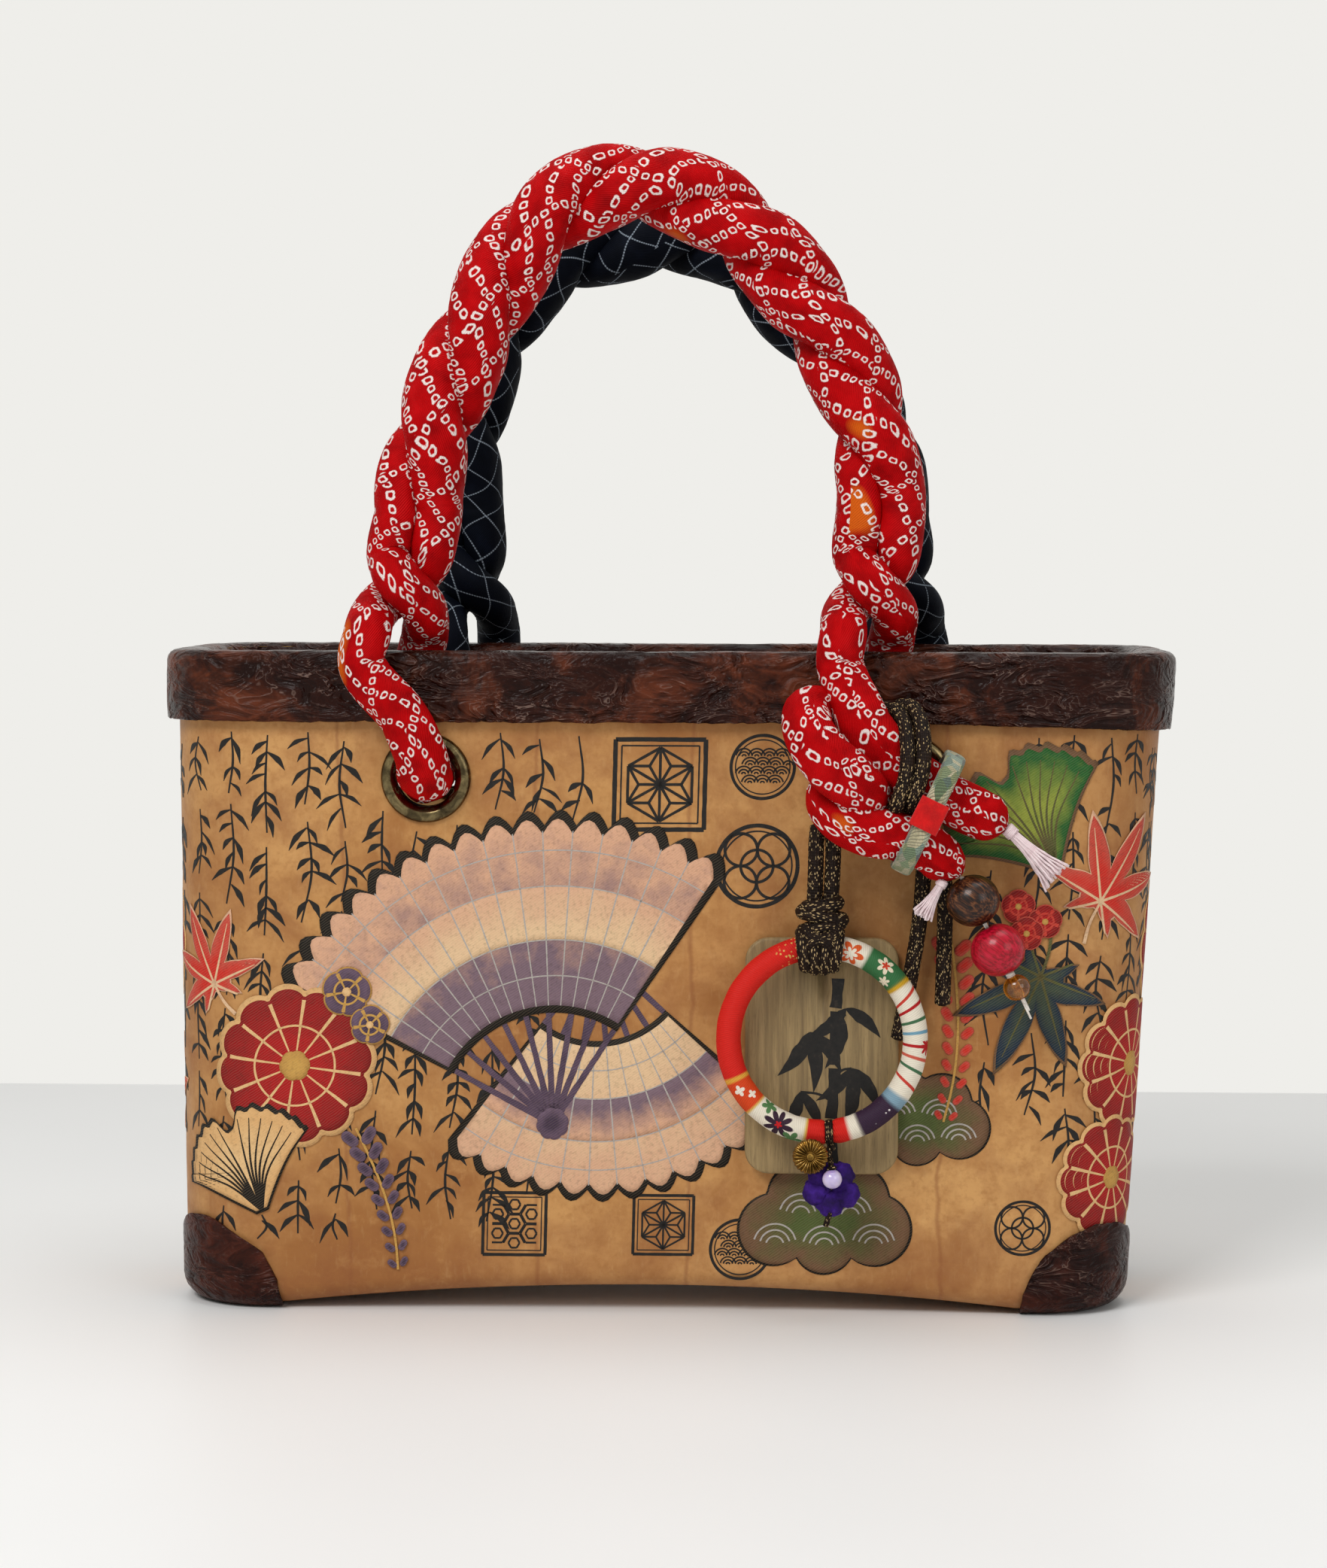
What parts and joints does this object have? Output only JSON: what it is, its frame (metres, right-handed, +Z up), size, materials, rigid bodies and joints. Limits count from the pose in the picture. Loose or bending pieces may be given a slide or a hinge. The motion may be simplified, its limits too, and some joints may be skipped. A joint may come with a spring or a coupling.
{
  "type": "basket bag",
  "caption": "Rectangular bamboo basket bag covered in paper, with twisted cloth handles through eyelets, corner guards and a hanging cord of charms.",
  "frame": {"origin": "on the ground under the middle of the rim", "axes": "+Z up, +X to the right seen from the front, -Y towards the front with the charms"},
  "size_m": [0.3416, 0.1816, 0.388],
  "materials": {
    "bamboo": "split bamboo weave",
    "tan_paper": "tanned hand-made paper, satin",
    "lining_paper": "tanned hand-made paper, matt",
    "dark_paper": "crinkled lacquered paper, semi-gloss",
    "brass": "antique",
    "red_cloth": "tie-dyed twill, white ring dots",
    "navy_cloth": "cotton with a fine pale check",
    "pale_thread": "loose cotton thread",
    "brocade": "woven brocade",
    "red_felt": "felt",
    "dark_cord": "speckled round braid",
    "brown_wood": "polished",
    "red_wood": "polished",
    "amber": "polished resin",
    "patch_cloth": "patched crepe",
    "tag_wood": "weathered, matt",
    "purple_crepe": "crepe",
    "pearl": "pearl lustre",
    "gold": "stamped, polished"
  },
  "bodies": {
    "basket": {"basket_core": "bamboo", "paper_cover": "tan_paper", "paper_lining": "lining_paper", "rim_hoop_outer": "bamboo", "rim_hoop_inner": "bamboo", "rim_binding": "dark_paper", "corner_guard_front_left": "dark_paper", "corner_guard_front_right": "dark_paper", "corner_guard_rear_left": "dark_paper", "corner_guard_rear_right": "dark_paper", "eyelet_front_left": "brass", "eyelet_front_right": "brass", "eyelet_rear_left": "brass", "eyelet_rear_right": "brass", "eyelet_washer_front_left": "brass", "eyelet_washer_front_right": "brass", "eyelet_washer_rear_left": "brass", "eyelet_washer_rear_right": "brass", "front_handle_bight": "red_cloth", "front_knot_outer_end": "red_cloth", "front_knot_inner_end": "red_cloth", "rear_handle_bight": "navy_cloth", "rear_knot_outer_end": "navy_cloth", "rear_knot_inner_end": "navy_cloth", "tassel_a": "pale_thread", "tassel_b": "pale_thread", "brocade_band": "brocade", "red_wrap": "red_felt", "cord_hitch": "dark_cord", "cord_tail_1": "dark_cord", "cord_tail_2": "dark_cord"},
    "front_handle": {"front_handle_strand_1": "red_cloth", "front_handle_strand_2": "red_cloth"},
    "rear_handle": {"rear_handle_strand_1": "navy_cloth", "rear_handle_strand_2": "navy_cloth"},
    "ring_charm": {"charm_cord_left": "dark_cord", "charm_cord_right": "dark_cord", "charm_knot": "dark_cord", "fabric_ring": "patch_cloth", "ring_lash": "dark_cord", "gold_flower": "gold"},
    "tag": {"wooden_tag": "tag_wood"},
    "pendant": {"pendant_thread": "dark_cord", "crepe_flower": "purple_crepe", "pearl": "pearl"},
    "bead_drop": {"bead_brown": "brown_wood", "bead_red": "red_wood", "bead_amber": "amber", "bead_thread": "pale_thread"}
  },
  "joints": [
    {"name": "front_handle_swing", "type": "hinge", "parent": "basket", "child": "front_handle", "pos_m": [0, -0.0542, 0.268], "axis": [1, 0, 0], "range_deg": [-12, 95]},
    {"name": "rear_handle_swing", "type": "hinge", "parent": "basket", "child": "rear_handle", "pos_m": [0, 0.0542, 0.268], "axis": [-1, 0, 0], "range_deg": [-12, 95]},
    {"name": "ring_charm_swing", "type": "hinge", "parent": "basket", "child": "ring_charm", "pos_m": [0.052, -0.0686, 0.163], "axis": [0, 1, 0], "range_deg": [-18, 18]},
    {"name": "tag_swing", "type": "hinge", "parent": "ring_charm", "child": "tag", "pos_m": [0.052, -0.0573, 0.1198], "axis": [0, 1, 0], "range_deg": [-15, 15]},
    {"name": "pendant_swing", "type": "hinge", "parent": "ring_charm", "child": "pendant", "pos_m": [0.0545, -0.0686, 0.0589], "axis": [0, 1, 0], "range_deg": [-20, 8]},
    {"name": "bead_swing", "type": "hinge", "parent": "basket", "child": "bead_drop", "pos_m": [0.097, -0.0747, 0.1498], "axis": [0, 1, 0], "range_deg": [-30, 8]}
  ]
}
